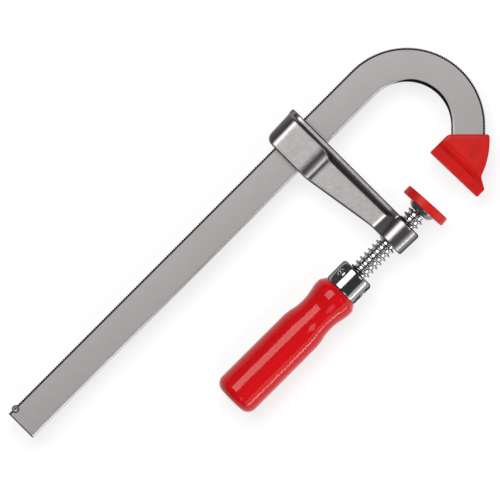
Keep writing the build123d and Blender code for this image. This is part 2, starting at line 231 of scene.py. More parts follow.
# %% A soft skin
def soft_skin(bm, voxel, rounds):
    """The solid with one even skin and soft corners."""
    block = temporary(bm, "block")
    modifier = block.modifiers.new("skin", "REMESH")
    modifier.mode = "VOXEL"
    modifier.voxel_size = voxel
    modifier.adaptivity = 0.0
    skinned = read_back(block)
    for turn in range(rounds):
        bmesh.ops.smooth_vert(
            skinned, verts=skinned.verts, factor=0.5, use_axis_x=True, use_axis_y=True,
            use_axis_z=True,
        )
    return skinned


# %% [markdown]
# Finishes come before the pieces. Three effects are shared, so each is a node group: a fine
# grain for surfaces that were cast, drawn or moulded, a wear mask that finds the outer
# edges, and slow smudges that vary the gloss as handling does. Groups put out values only,
# and the shader itself stays in each material.

# %% Node helpers
def set_values(node, **values):
    """Sets inputs of a node. Their names have an underscore for each space."""
    for label, value in values.items():
        node.inputs[label.replace("_", " ")].default_value = value


def reader(tree, kind, source, socket="Vector", **values):
    """A new node of this kind that reads source, with these values on other inputs."""
    node = tree.nodes.new(kind)
    set_values(node, **values)
    tree.links.new(source, node.inputs[socket])
    return node


def remap(tree, source, from_low, from_high, to_low=0.0, to_high=1.0):
    """A value spread from one range to another, held at the ends."""
    return reader(
        tree, "ShaderNodeMapRange", source, "Value",
        From_Min=from_low, From_Max=from_high, To_Min=to_low, To_Max=to_high,
    ).outputs["Result"]


def maths(tree, operation, first, *others):
    """Sockets or numbers taken together by a maths operation, from left to right."""
    for second in others:
        node = tree.nodes.new("ShaderNodeMath")
        node.operation = operation
        for socket, given in zip(node.inputs, (first, second)):
            if isinstance(given, (int, float)):
                socket.default_value = given
            else:
                tree.links.new(given, socket)
        first = node.outputs["Value"]
    return first


def value_group(name, inputs, output):
    """An empty shader group with float inputs (name, default), its inside sockets too."""
    group = bpy.data.node_groups.new(name, "ShaderNodeTree")
    group.interface.new_socket(name="Vector", in_out="INPUT", socket_type="NodeSocketVector")
    for label, default in inputs:
        socket = group.interface.new_socket(name=label, in_out="INPUT", socket_type="NodeSocketFloat")
        socket.default_value = default
    group.interface.new_socket(name=output, in_out="OUTPUT", socket_type="NodeSocketFloat")
    return group, group.nodes.new("NodeGroupInput").outputs, group.nodes.new("NodeGroupOutput").inputs


# %% Shared node groups
COARSE_TO_FINE = 0.22
CHIP_SCALE = 420.0
grain_group, into, out = value_group("Fine grain", [("Scale", 1500.0), ("Coarse share", 0.4)], "Height")
fine = reader(grain_group, "ShaderNodeTexNoise", into["Vector"], Detail=3.0)
coarse = reader(grain_group, "ShaderNodeTexNoise", into["Vector"], Detail=2.0)
grain_group.links.new(into["Scale"], fine.inputs["Scale"])
coarse_scale = maths(grain_group, "MULTIPLY", into["Scale"], COARSE_TO_FINE)
grain_group.links.new(coarse_scale, coarse.inputs["Scale"])
slow = maths(grain_group, "MULTIPLY", coarse.outputs["Fac"], into["Coarse share"])
grain_group.links.new(maths(grain_group, "ADD", fine.outputs["Fac"], slow), out["Height"])

wear_group, into, out = value_group("Edge wear", [("Start", 0.53), ("Full", 0.62)], "Mask")
geometry = wear_group.nodes.new("ShaderNodeNewGeometry")
ragged = reader(wear_group, "ShaderNodeTexNoise", into["Vector"], Scale=CHIP_SCALE)
edge = remap(wear_group, geometry.outputs["Pointiness"], 0.5, 1.0)
wear_group.links.new(into["Start"], edge.node.inputs["From Min"])
wear_group.links.new(into["Full"], edge.node.inputs["From Max"])
broken = remap(wear_group, ragged.outputs["Fac"], 0.35, 0.6)
wear_group.links.new(maths(wear_group, "MULTIPLY", edge, broken), out["Mask"])

smudge_group, into, out = value_group("Smudges", [("Scale", 60.0)], "Amount")
cloud = reader(smudge_group, "ShaderNodeTexNoise", into["Vector"], Detail=5.0, Roughness=0.6)
smudge_group.links.new(into["Scale"], cloud.inputs["Scale"])
smudge_group.links.new(remap(smudge_group, cloud.outputs["Fac"], 0.35, 0.7), out["Amount"])
print("groups:", [group.name for group in bpy.data.node_groups])


# %% [markdown]
# A finish is one Principled shader with its flat values on its own sockets. Patterns read
# Object coordinates, which are the clamp's own metres, so a grain of half a millimetre has
# a scale near two thousand. Short calls then add grain, smudges and wear.

# %% Building a finish
class Finish:
    """A Principled material that is built up in steps."""

    def __init__(self, name, color, metallic, roughness, edge_tint=1.0, **values):
        self.material = bpy.data.materials.new(name)
        self.material.use_nodes = True
        self.tree = self.material.node_tree
        self.shader = self.tree.nodes["Principled BSDF"]
        self.color = (*color, 1.0)
        set_values(
            self.shader, Base_Color=self.color, Metallic=metallic, Roughness=roughness,
            Specular_Tint=(edge_tint, edge_tint, edge_tint, 1.0), **values,
        )
        self.coordinates = self.tree.nodes.new("ShaderNodeTexCoord").outputs["Object"]

    def stretched(self, *scale):
        """Object coordinates with each axis scaled, for patterns with a direction."""
        return reader(self.tree, "ShaderNodeMapping", self.coordinates, Scale=scale).outputs["Vector"]

    def levelness(self):
        """How level the surface is, from 0 on an upright wall to 1 on a flat face."""
        facing = self.tree.nodes.new("ShaderNodeTexCoord").outputs["Normal"]
        upright = reader(self.tree, "ShaderNodeSeparateXYZ", facing).outputs["Z"]
        return maths(self.tree, "ABSOLUTE", upright, 0.0)

    def placed(self, group, vector=None, **values):
        """The group in this material, with its own values, as its first output."""
        node = self.tree.nodes.new("ShaderNodeGroup")
        node.node_tree = group
        self.tree.links.new(vector or self.coordinates, node.inputs["Vector"])
        set_values(node, **values)
        return node.outputs[0]

    def bump(self, height, depth_mm, below=None):
        """Fine relief from a height pattern, depth_mm deep."""
        node = reader(self.tree, "ShaderNodeBump", height, "Height", Strength=1.0, Distance=depth_mm * MM)
        if below is not None:
            self.tree.links.new(below, node.inputs["Normal"])
        self.tree.links.new(node.outputs["Normal"], self.shader.inputs["Normal"])
        return node.outputs["Normal"]

    def grained(self, scale, coarse_share, depth_mm):
        """Relief from the shared grain."""
        self.bump(self.placed(grain_group, Scale=scale, Coarse_share=coarse_share), depth_mm)

    def smudged(self, scale, low, high):
        """Roughness that the shared smudges vary between low and high."""
        amount = self.placed(smudge_group, Scale=scale)
        self.tree.links.new(remap(self.tree, amount, 0.0, 1.0, low, high), self.shader.inputs["Roughness"])

    def mix_color(self, mask, other, base=None):
        """Base colour that turns to another where the mask is 1."""
        node = self.tree.nodes.new("ShaderNodeMix")
        node.data_type = "RGBA"
        set_values(node, A=self.color, B=(*other, 1.0))
        self.tree.links.new(mask, node.inputs["Factor"])
        if base is not None:
            self.tree.links.new(base, node.inputs["A"])
        self.tree.links.new(node.outputs["Result"], self.shader.inputs["Base Color"])
        return node.outputs["Result"]


# %% [markdown]
# The rail is plain drawn bar: an even light grey with faint lines along its length that
# follow the bend. Its vertices carry their own distance along and across the bar, and the
# lines are stretched in those coordinates. Painted shade uses them too: a dark band along
# the toothed outer edge, and a dark crescent on the bend's inner edge, whose reach is
# stored with the mesh. The level faces are also darker over the last half millimetre at
# the free end. These lie on the level faces only: the upright walls are plain steel, with
# painted shade just in the teeth's roots. The rest of the inner edge has a painted
# highlight, a lighter grey band.

# %% Rail finish
RAIL_WIDTH = 15.0
TOOTH_DEPTH = 0.38
ROOT_SHADE = 0.8
BAND_BLUR = 0.15
TOOTHED_EDGE_SHADE_BAND = 1.1
DARK_END_BAND = 0.5
HIGHLIGHT_EDGE_BAND = 1.15
BEND_SHADE_REACH = 1.7
WALL_TO_FACE = (0.15, 0.4)
PAINTED_SHADE_BLACK = (0.016, 0.015, 0.015)
PAINTED_HIGHLIGHT_GREY = (0.58, 0.55, 0.555)
rail_steel = Finish("rail_steel", (0.363, 0.342, 0.342), 1.0, 0.52, edge_tint=0.5)
tree = rail_steel.tree
run = tree.nodes.new("ShaderNodeAttribute")
run.attribute_name = "rail_run"
lines = reader(tree, "ShaderNodeMapping", run.outputs["Vector"], Scale=(0.03, 1.0, 1.0)).outputs["Vector"]
drawn = rail_steel.placed(grain_group, lines, Scale=4.0, Coarse_share=0.6)
pores = rail_steel.placed(grain_group, Scale=2600.0, Coarse_share=0.2)
rail_steel.bump(pores, 0.01, below=rail_steel.bump(drawn, 0.012))
rail_steel.smudged(45.0, 0.5, 0.55)
on_the_bar = reader(tree, "ShaderNodeSeparateXYZ", run.outputs["Vector"]).outputs
across_bar = on_the_bar["Y"]
teeth_from = RAIL_WIDTH - TOOTHED_EDGE_SHADE_BAND
# Painted shade: a dark band along the toothed outer edge.
toothed_edge_shade = remap(tree, across_bar, teeth_from - BAND_BLUR, teeth_from + BAND_BLUR)
# Painted shade: a dark crescent on the bend's inner edge, as wide as its stored reach.
bend_shade = tree.nodes.new("ShaderNodeAttribute")
bend_shade.attribute_name = "bend_shade"
bend_shade_width = maths(tree, "MULTIPLY", bend_shade.outputs["Fac"], BEND_SHADE_REACH)
past_bend_shade = maths(tree, "SUBTRACT", across_bar, bend_shade_width)
bend_edge_shade = remap(tree, past_bend_shade, -BAND_BLUR, -3 * BAND_BLUR)
# The level faces are darker over the last half millimetre at the free end.
dark_end = remap(tree, on_the_bar["X"], DARK_END_BAND + BAND_BLUR, DARK_END_BAND - BAND_BLUR)
dark = maths(tree, "MAXIMUM", toothed_edge_shade, bend_edge_shade, dark_end)
# Painted highlight: a lighter grey band along the inner edge.
bright = remap(tree, across_bar, HIGHLIGHT_EDGE_BAND + BAND_BLUR, HIGHLIGHT_EDGE_BAND - BAND_BLUR)
highlighted_edge_color = rail_steel.mix_color(bright, PAINTED_HIGHLIGHT_GREY)
on_face = remap(tree, rail_steel.levelness(), *WALL_TO_FACE)
dark_faces = maths(tree, "MULTIPLY", dark, on_face)
above_roots = RAIL_WIDTH - TOOTH_DEPTH / 2
at_teeth = remap(tree, across_bar, teeth_from, teeth_from + BAND_BLUR)
root_blur = BAND_BLUR / 2
# Painted shade in the teeth's roots, on the upright walls.
roots = remap(tree, across_bar, above_roots + root_blur, above_roots - root_blur, 0.0, ROOT_SHADE)
dark_roots = maths(tree, "MULTIPLY", roots, at_teeth, remap(tree, on_face, 1.0, 0.0))
rail_dark = maths(tree, "MAXIMUM", dark_faces, dark_roots)
rail_color = rail_steel.mix_color(rail_dark, PAINTED_SHADE_BLACK, base=highlighted_edge_color)
print("rail finish:", len(tree.nodes), "nodes")

# %% [markdown]
# The casting's level faces are pitted, matte and handled. Its curved faces are tumbled
# smooth, and they have one even roughness, because any pattern in it frays the highlights.
# Faces count as level above the boss only. Curved faces and the boss are painted darker,
# and upright walls darker still: painted shade for their dark reflections and outlines.

# %% Casting finish
DARK_EDGE_TINT = 0.15
ABOVE_BOSS = (0.0088, 0.0105)
LEVEL_FACE = (0.955, 0.998)
SIDE_WALL_SHADE = (0.86, 0.55)
CURVED_RELIEF = 0.03
TUMBLED_ROUGHNESS = 0.275
MATTE_ROUGHNESS = (0.47, 0.54)
cast_zinc = Finish("cast_zinc", (0.48, 0.455, 0.455), 1.0, 0.3, edge_tint=DARK_EDGE_TINT)
tree = cast_zinc.tree
levelness = cast_zinc.levelness()
pits = cast_zinc.placed(grain_group, Scale=1900.0, Coarse_share=0.5)
height_on_arm = reader(tree, "ShaderNodeSeparateXYZ", cast_zinc.coordinates).outputs["Y"]
off_boss = remap(tree, height_on_arm, *ABOVE_BOSS)
flat_face = maths(tree, "MULTIPLY", remap(tree, levelness, *LEVEL_FACE), off_boss)
relief = remap(tree, flat_face, 0.0, 1.0, CURVED_RELIEF, 1.0)
cast_zinc.bump(maths(tree, "MULTIPLY", pits, relief), 0.03)
handled = cast_zinc.placed(smudge_group, Scale=260.0)
matte = remap(tree, handled, 0.0, 1.0, *MATTE_ROUGHNESS)
roughness_mix = reader(tree, "ShaderNodeMix", flat_face, "Factor", A=TUMBLED_ROUGHNESS)
tree.links.new(matte, roughness_mix.inputs["B"])
tree.links.new(roughness_mix.outputs["Result"], cast_zinc.shader.inputs["Roughness"])
mottled = cast_zinc.mix_color(remap(tree, pits, 0.5, 0.95), (0.36, 0.34, 0.34))
# Painted shade: curved faces and the boss are darker than the level faces.
curved_face_shade = cast_zinc.mix_color(remap(tree, flat_face, 0.6, 0.0), (0.25, 0.24, 0.24), base=mottled)
# Painted shade: upright walls are darker still, for dark outlines.
cast_zinc.mix_color(remap(tree, levelness, *SIDE_WALL_SHADE), (0.21, 0.202, 0.198), base=curved_face_shade)
print("casting finish:", len(tree.nodes), "nodes")

# %% Steel finishes
screw_steel = Finish("screw_steel", (0.55, 0.54, 0.535), 1.0, 0.16, edge_tint=DARK_EDGE_TINT)
screw_steel.grained(scale=3000.0, coarse_share=0.3, depth_mm=0.006)
screw_steel.smudged(scale=300.0, low=0.12, high=0.24)
polished_steel = Finish("polished_steel", (0.32, 0.32, 0.315), 1.0, 0.1, edge_tint=DARK_EDGE_TINT)
polished_steel.grained(scale=700.0, coarse_share=0.5, depth_mm=0.0025)
polished_steel.smudged(scale=160.0, low=0.1, high=0.18)
# The ball stud's steel is painted very dark: painted shade for the gap between the thread and the bowl.
ball_shade_steel = Finish("ball_shade_steel", (0.1, 0.098, 0.095), 1.0, 0.3, edge_tint=DARK_EDGE_TINT)
ball_shade_steel.grained(scale=2200.0, coarse_share=0.5, depth_mm=0.01)
ball_shade_steel.smudged(scale=400.0, low=0.22, high=0.4)
black_steel = Finish("black_steel", (0.23, 0.24, 0.235), 0.85, 0.28)
black_steel.grained(scale=1800.0, coarse_share=0.5, depth_mm=0.02)
black_steel.smudged(scale=200.0, low=0.2, high=0.36)
black_steel.mix_color(black_steel.placed(wear_group), (0.25, 0.25, 0.24))
print("finishes:", [made.name for made in bpy.data.materials if made.users])

# %% [markdown]
# The handle is dipped: red gloss lacquer over turned wood. The lacquer follows the wood a
# little, so long shallow ripples along the grain break up the edges of its highlight. The
# cap and the shoe are a soft red plastic with the fine skin of a spark-eroded mould.

# %% Red finishes
lacquered_wood = Finish("lacquered_wood", (0.7, 0.006, 0.009), 0.0, 0.1, Specular_IOR_Level=0.27)
along_wood = lacquered_wood.stretched(0.045, 1.0, 1.0)
fibres = lacquered_wood.placed(grain_group, along_wood, Scale=900.0, Coarse_share=1.2)
ripple = lacquered_wood.bump(fibres, 0.024)
peel = lacquered_wood.placed(grain_group, Scale=800.0, Coarse_share=0.5)
lacquered_wood.bump(peel, 0.01, below=ripple)
lacquered_wood.mix_color(remap(lacquered_wood.tree, fibres, 0.8, 1.5), (0.6, 0.005, 0.008))

red_plastic = Finish("red_plastic", (0.66, 0.008, 0.005), 0.0, 0.44, Specular_IOR_Level=0.2)
red_plastic.grained(scale=2400.0, coarse_share=0.6, depth_mm=0.02)
red_plastic.smudged(scale=90.0, low=0.38, high=0.52)
uneven = red_plastic.mix_color(red_plastic.placed(smudge_group, Scale=150.0), (0.5, 0.006, 0.004))
worn = red_plastic.placed(wear_group, Start=0.54, Full=0.7)
red_plastic.mix_color(worn, (0.68, 0.03, 0.024), base=uneven)
print("red finishes:", lacquered_wood.material.name, red_plastic.material.name)

# %% [markdown]
# Every piece ends the same way: doubles are merged, normals turned outwards, the drawing
# scaled to metres, and shading made smooth except across real edges. It then takes the
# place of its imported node, rides on that node's body and names its finish.

# %% Handing a piece to the frame
body_nodes = frame["record"]["behaviour"]["bodies"].items()
body_of_node = {node: body for body, nodes in body_nodes for node in nodes}


def to_piece(bm, name, node, finish, sharp_angle=32.0):
    """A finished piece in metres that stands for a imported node."""
    bmesh.ops.remove_doubles(bm, verts=bm.verts, dist=MERGE)
    bmesh.ops.recalc_face_normals(bm, faces=bm.faces)
    bmesh.ops.scale(bm, vec=(MM, MM, MM), verts=bm.verts)
    triangles = sum(len(face.verts) - 2 for face in bm.faces)
    open_edges = sum(len(edge.link_faces) != 2 for edge in bm.edges)
    mesh = mesh_from(bm, name)
    mesh.shade_smooth()
    mesh.set_sharp_from_angle(angle=radians(sharp_angle))
    mesh.materials.append(finish.material)
    piece = linked(name, mesh)
    flats = piece.modifiers.new("flat faces stay flat", "WEIGHTED_NORMAL")
    flats.keep_sharp = True
    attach(piece, body_of_node[node])
    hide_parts(node)
    print(name, "triangles", triangles, "edges not shared by two faces", open_edges)


# %% [markdown]
# The rail is a length of 15 by 5 mm bar with slightly rounded edges. Its section is drawn
# once and swept by three spins: one with no angle and a step along X makes the straight
# run, one about the bend's centre the hook, and a last straight one the tail. Each tooth
# has four rings, which a later cell uses to cut the teeth.

# %% Rail sizes
rail_low, rail_high = node_box("rail")
RAIL_ROUND = 1.0
RAIL_INNER_ROUND = 1.4
rail_half = (rail_high.z - rail_low.z) / 2
rail_end_x = rail_low.x
STOP_PROUD = 0.9
rail_outer_y = rail_high.y - STOP_PROUD
rail_mid_y = rail_outer_y - RAIL_WIDTH / 2
BEND_RADIUS = 26.8
BEND_TURN = 135.0
TAIL_LENGTH = 14.4
bend_x = rail_high.x - BEND_RADIUS - RAIL_WIDTH / 2
bend_centre = Vector((bend_x, rail_mid_y - BEND_RADIUS, 0.0))
tail_turn = radians(90.0 - BEND_TURN)
tail_outward = Vector((cos(tail_turn), sin(tail_turn), 0.0))
tail_heading = Vector((sin(tail_turn), -cos(tail_turn), 0.0))
tail_start = bend_centre + tail_outward * BEND_RADIUS
TOOTH_PITCH = 1.05
RINGS_PER_TOOTH = 4
straight_teeth = round((bend_x - rail_end_x) / TOOTH_PITCH)
bend_teeth = round(radians(BEND_TURN) * (BEND_RADIUS + RAIL_WIDTH / 2) / TOOTH_PITCH)
tail_teeth = round(TAIL_LENGTH / TOOTH_PITCH)
print("teeth:", straight_teeth, bend_teeth, tail_teeth, "rail outer edge at y", round(rail_outer_y, 2))

# %% Rail bar
half_width = RAIL_WIDTH / 2


def bar_section(play, inner_round, place, segments=CORNER_SEGMENTS):
    """The bar's section with play all round, put in space by place."""
    wide = half_width + play
    high = rail_half + play
    return plate([
        (-wide, -high, inner_round),
        (wide, -high, RAIL_ROUND),
        (wide, high, RAIL_ROUND),
        (-wide, high, inner_round),
    ], place, segments)


def swept(bm, section, step, angle, steps):
    """The section carried on by a spin, and the section at its far end."""
    grown = bmesh.ops.spin(
        bm, geom=section, cent=bend_centre, axis=(0, 0, 1), dvec=step, angle=angle,
        steps=steps, use_merge=False, use_normal_flip=False, use_duplicate=False,
    )
    return grown["geom_last"]


rail = bar_section(
    0.0, RAIL_INNER_ROUND, lambda across, up: Vector((rail_end_x, rail_mid_y + across, up)), 3,
)
straight_rings = straight_teeth * RINGS_PER_TOOTH
tail_rings = tail_teeth * RINGS_PER_TOOTH
straight_step = Vector(((bend_x - rail_end_x) / straight_rings, 0.0, 0.0))
section = swept(rail, whole(rail), straight_step, 0.0, straight_rings)
section = swept(rail, section, Vector(), -radians(BEND_TURN), bend_teeth * RINGS_PER_TOOTH)
section = swept(rail, section, tail_heading * (TAIL_LENGTH / tail_rings), 0.0, tail_rings)
print("rail vertices", len(rail.verts))

# %% [markdown]
# The teeth are pressed straight across the outer edge. Each vertex works out its tooth
# number from the free end, its height across the bar, and which way is outwards. In a
# tooth's gap, whatever stands above the root line is pushed down to it.

# %% Rail teeth
def on_bar(point):
    """Tooth number, distance across from the bar's middle, and the way outwards."""
    arm = Vector((point.x - bend_centre.x, point.y - bend_centre.y, 0.0))
    angle = atan2(arm.y, arm.x)
    if angle > pi / 2 - 1e-6:
        tooth = (point.x - rail_end_x) / straight_step.x / RINGS_PER_TOOTH
        return tooth, point.y - rail_mid_y, Vector((0, 1, 0))
    if angle > tail_turn - 1e-6:
        bent = (pi / 2 - angle) / radians(BEND_TURN)
        return straight_teeth + bend_teeth * bent, arm.length - BEND_RADIUS, arm.normalized()
    past = Vector((point.x, point.y, 0.0)) - tail_start
    along = past.dot(tail_heading) / TAIL_LENGTH
    return straight_teeth + bend_teeth + tail_teeth * along, past.dot(tail_outward), tail_outward


def eased(value):
    """Smooth step from 0 to 1."""
    held = min(1.0, max(0.0, value))
    return held * held * (3 - 2 * held)


root_line = half_width - TOOTH_DEPTH
for vert in rail.verts:
    tooth, across, outward = on_bar(vert.co)
    in_gap = round(tooth * RINGS_PER_TOOTH) % RINGS_PER_TOOTH >= RINGS_PER_TOOTH / 2
    if in_gap and across > root_line:
        vert.co -= outward * (across - root_line)

# %% [markdown]
# Near its free end the bar is punched on both faces, and the metal swells out over the
# toothed edge, which stops the arm from sliding off. The swelling is a short pin with
# rounded rims joined to the bar, and each punch mark is a small turned tool whose ring and
# cone are cut into it. Painted shade darkens the swelling's rim and the cone, which the
# finish finds by their distance from the punch's axis.

# %% End stop of the rail
STOP_FROM_END = 3.6
STOP_RADIUS = 1.65
stop_x = rail_end_x + STOP_FROM_END
stop_y = rail_outer_y + STOP_PROUD - STOP_RADIUS
stop_half = rail_half + 0.02
swelling = turned([(-stop_half, STOP_RADIUS, 0.35), (stop_half, STOP_RADIUS, 0.35)], steps=40)
punch = spun(wire([
    (rail_half - 0.45, 0.0, 0.0),
    (rail_half - 0.05, 0.62, 0.0),
    (rail_half - 0.03, 0.80, 0.0),
    (rail_half - 0.32, 1.02, 0.08),
    (rail_half - 0.32, 1.16, 0.08),
    (rail_half + 0.3, 1.34, 0.0),
    (rail_half + 0.3, 0.0, 0.0),
]), steps=40)
for tool in (swelling, punch):
    bmesh.ops.rotate(tool, cent=(0, 0, 0), matrix=Matrix.Rotation(-pi / 2, 3, "Y"), verts=tool.verts)
    bmesh.ops.translate(tool, vec=(stop_x, stop_y, 0.0), verts=tool.verts)
lower_punch = punch.copy()
bmesh.ops.scale(lower_punch, vec=(1, 1, -1), verts=lower_punch.verts)
for tool, operation in ((swelling, "UNION"), (punch, "DIFFERENCE"), (lower_punch, "DIFFERENCE")):
    rail = combined(rail, tool, operation)
print("rail with its end stop: vertices", len(rail.verts))

# %% Painted shade on the end stop
STOP_RIM = 1.3
STOP_BLUR = 0.08
PUNCH_CONE = 0.45
SWOLLEN_STEEL = (0.4, 0.38, 0.38)
STOP_SHADE = (0.05, 0.048, 0.048)
tree = rail_steel.tree
from_stop = tree.nodes.new("ShaderNodeVectorMath")
from_stop.operation = "DISTANCE"
from_stop.inputs[1].default_value = (stop_x * MM, stop_y * MM, 0.0)
tree.links.new(rail_steel.stretched(1.0, 1.0, 0.0), from_stop.inputs[0])
off_axis = from_stop.outputs["Value"]
in_rim = remap(tree, off_axis, (STOP_RIM - STOP_BLUR) * MM, (STOP_RIM + STOP_BLUR) * MM)
past_rim = (STOP_RADIUS + STOP_BLUR) * MM
rim_end = remap(tree, off_axis, past_rim + STOP_BLUR * MM, past_rim)
in_cone = remap(tree, off_axis, (PUNCH_CONE + STOP_BLUR) * MM, (PUNCH_CONE - STOP_BLUR) * MM)
# Painted shade: a dark ring on the swelling's rim and a dark punch cone.
rim_shade = maths(tree, "MULTIPLY", in_rim, rim_end)
punched = rail_steel.mix_color(rim_end, SWOLLEN_STEEL, base=rail_color)
rail_steel.mix_color(maths(tree, "MAXIMUM", rim_shade, in_cone), STOP_SHADE, base=punched)
print("rail finish:", len(tree.nodes), "nodes")

# %% [markdown]
# The finished bar stores its own coordinates for the finish, and the reach of the painted
# shade on the bend's inner edge, which swells early in the bend and thins out towards its
# end. They are worked out last, because a join or a cut gives its new vertices none.

# %% Rail coordinates
BEND_SHADE_FROM = 0.08
BEND_SHADE_THINS_FROM = 0.65
BEND_SHADE_EASE = 0.35
BEND_SHADE_THINS_BY = 0.5
run_layer = rail.verts.layers.float_vector.new("rail_run")
# The reach of the painted shade on the bend's inner edge, for each vertex.
bend_shade_layer = rail.verts.layers.float.new("bend_shade")
for vert in rail.verts:
    tooth, across, outward = on_bar(vert.co)
    vert[run_layer] = Vector((tooth * TOOTH_PITCH, across + half_width, vert.co.z))
    bend_share = (tooth - straight_teeth) / bend_teeth
    left = 1 - BEND_SHADE_THINS_BY * eased((bend_share - BEND_SHADE_THINS_FROM) / BEND_SHADE_EASE)
    vert[bend_shade_layer] = eased((bend_share - BEND_SHADE_FROM) / BEND_SHADE_EASE) * left
to_piece(rail, "flat_rail", "rail", rail_steel)

# %% [markdown]
# The shoe over the hook's end is one moulding: a broad foot, which is the fixed jaw, and a
# body round the rail. In plan it is a single outline. It is cut into foot, shoulder and
# body by two lines parallel to the jaw's face, each strip is raised to its own height,
# and the half is mirrored. The body's border slopes a little down from its flat panel.

# %% Jaw shoe outline
TOE_IN = 1.5
FOOT_ABOVE = 15.1
FOOT_BELOW = 13.2
FOOT_THICKNESS = 5.0
FOOT_CORNER = 3.2
FOOT_HEEL = 4.9
SHOULDER = 2.1
SHOULDER_RISE = 1.2
FOOT_DRAFT = 1.6
PANEL_INSET = 1.35
PANEL_DROP = 0.5
SHOE_WALL = 2.0
SHOE_SIDE_WALL = 1.7
SHOE_COVER = 10.7
SHOE_NECK = Vector((7.8, -8.1, 0.0))
SHOE_BELLY = 1.3
SHOE_CLEARANCE = 0.1
foot_half = node_box("hook_cap")[1].z
shoe_half = rail_half + SHOE_WALL
body_from = FOOT_THICKNESS + SHOULDER
face_along = Vector((-sin(radians(TOE_IN)), cos(radians(TOE_IN)), 0.0))
inwards = Vector((face_along.y, -face_along.x, 0.0))
face_top = face_along * (FOOT_ABOVE / face_along.y)
face_foot = face_along * (-FOOT_BELOW / face_along.y)
mouth = tail_start + tail_heading * (TAIL_LENGTH - SHOE_COVER)
to_side = tail_outward * (half_width + SHOE_SIDE_WALL)
mouth_outer = mouth + to_side
mouth_inner = mouth - to_side
mouth_top = Vector((mouth_inner.x + mouth_inner.y - FOOT_ABOVE, FOOT_ABOVE, 0.0))
chord = SHOE_NECK - mouth_outer
belly_out = Vector((-chord.y, chord.x, 0.0)).normalized()
belly_radius = chord.length ** 2 / (8 * SHOE_BELLY) + SHOE_BELLY / 2
belly_centre = (SHOE_NECK + mouth_outer) / 2 + belly_out * (SHOE_BELLY - belly_radius)
BELLY_STEPS = 12
belly_from = atan2(mouth_outer.y - belly_centre.y, mouth_outer.x - belly_centre.x)
belly_to = atan2(SHOE_NECK.y - belly_centre.y, SHOE_NECK.x - belly_centre.x)
belly = []
for step in range(1, BELLY_STEPS):
    angle = belly_from + (belly_to - belly_from) * step / BELLY_STEPS
    belly.append(belly_centre + Vector((cos(angle), sin(angle), 0.0)) * belly_radius)
corners = [(face_top, 0.0), (mouth_top, 1.2), (mouth_outer, 0.9)]
corners += [(point, 0.0) for point in belly]
corners += [(SHOE_NECK, 1.1), (Vector((FOOT_HEEL, -FOOT_BELOW, 0.0)), 0.5), (face_foot, 0.0)]
shoe = plate([(point.x, point.y, reach) for point, reach in corners])
print("shoe outline corners", len(shoe.verts))

# %% Jaw shoe body
for depth in (FOOT_THICKNESS, body_from):
    sliced(shoe, inwards * depth, inwards)
raised(shoe, Vector((0, 0, shoe_half)))
bottom = [face for face in shoe.faces if max(vert.co.z for vert in face.verts) < MERGE]
bmesh.ops.delete(shoe, geom=bottom, context="FACES_ONLY")
for vert in shoe.verts:
    depth = vert.co.dot(inwards)
    if vert.co.z > MERGE and FOOT_THICKNESS - MERGE < depth < body_from:
        vert.co.z += SHOULDER_RISE * (body_from - depth) / SHOULDER
foot_faces = [
    face for face in shoe.faces
    if face.calc_center_median().dot(inwards) < FOOT_THICKNESS - MERGE and abs(face.normal.z) > 0.5
]
grown = bmesh.ops.extrude_face_region(shoe, geom=foot_faces)
for part in grown["geom"]:
    if isinstance(part, bmesh.types.BMVert):
        part.co.z = foot_half - FOOT_DRAFT * part.co.dot(inwards) / FOOT_THICKNESS
bmesh.ops.delete(shoe, geom=[face for face in foot_faces if face.is_valid], context="FACES_ONLY")
bmesh.ops.recalc_face_normals(shoe, faces=shoe.faces)
panel = [
    face for face in shoe.faces
    if abs(face.normal.z) > 0.9 and face.calc_center_median().dot(inwards) > body_from
]
border = bmesh.ops.inset_region(
    shoe, faces=panel, thickness=PANEL_INSET, depth=0.0, use_boundary=True, use_even_offset=True,
)["faces"]
panel_verts = {vert for face in panel for vert in face.verts}
for vert in {vert for face in border for vert in face.verts} - panel_verts:
    vert.co.z -= PANEL_DROP
print("shoe half: vertices", len(shoe.verts), "faces", len(shoe.faces))


# %% [markdown]
# The foot's ends are rounded by a wide bevel. The halves are mirrored together, and the
# soft skin rounds every other edge. The bar's pocket is cut last, to stay a close fit.

# %% Jaw shoe edges and pocket
SHOE_VOXEL = 0.24
SHOE_SMOOTHING = 7
foot_ends = []
for edge in shoe.edges:
    at_rim = all(vert.co.z > foot_half - FOOT_DRAFT - 0.01 for vert in edge.verts)
    if at_rim and abs((edge.verts[0].co - edge.verts[1].co).normalized().dot(inwards)) > 0.85:
        foot_ends.append(edge)
bmesh.ops.bevel(
    shoe, geom=foot_ends, offset=FOOT_CORNER, offset_type="OFFSET", segments=8, profile=0.5,
    affect="EDGES", material=-1, clamp_overlap=True,
)
print("foot ends rounded:", len(foot_ends))
bmesh.ops.mirror(shoe, geom=whole(shoe), matrix=Matrix.Identity(4), merge_dist=MERGE, axis="Z")
shoe = soft_skin(shoe, SHOE_VOXEL, SHOE_SMOOTHING)
pocket = bar_section(
    SHOE_CLEARANCE, RAIL_ROUND,
    lambda across, up: tail_start + tail_outward * across + Vector((0, 0, up)),
)
raised(pocket, tail_heading * (TAIL_LENGTH + SHOE_CLEARANCE))
shoe = combined(shoe, pocket, "DIFFERENCE")
to_piece(shoe, "jaw_shoe", "hook_cap", red_plastic)

# %% [markdown]
# The sliding arm is a zinc die casting, T-shaped in section: a head round the rail, a thin
# web, a boss for the screw, and a rim along the side that faces the hook. Its side view and
# its section across the rail are plain outlines. Drawn out and intersected, they give the
# head, web and boss wall at once, and the rim and the boss are joined on. The section
# shrinks a little towards the back, in several rings, because one long face would twist.

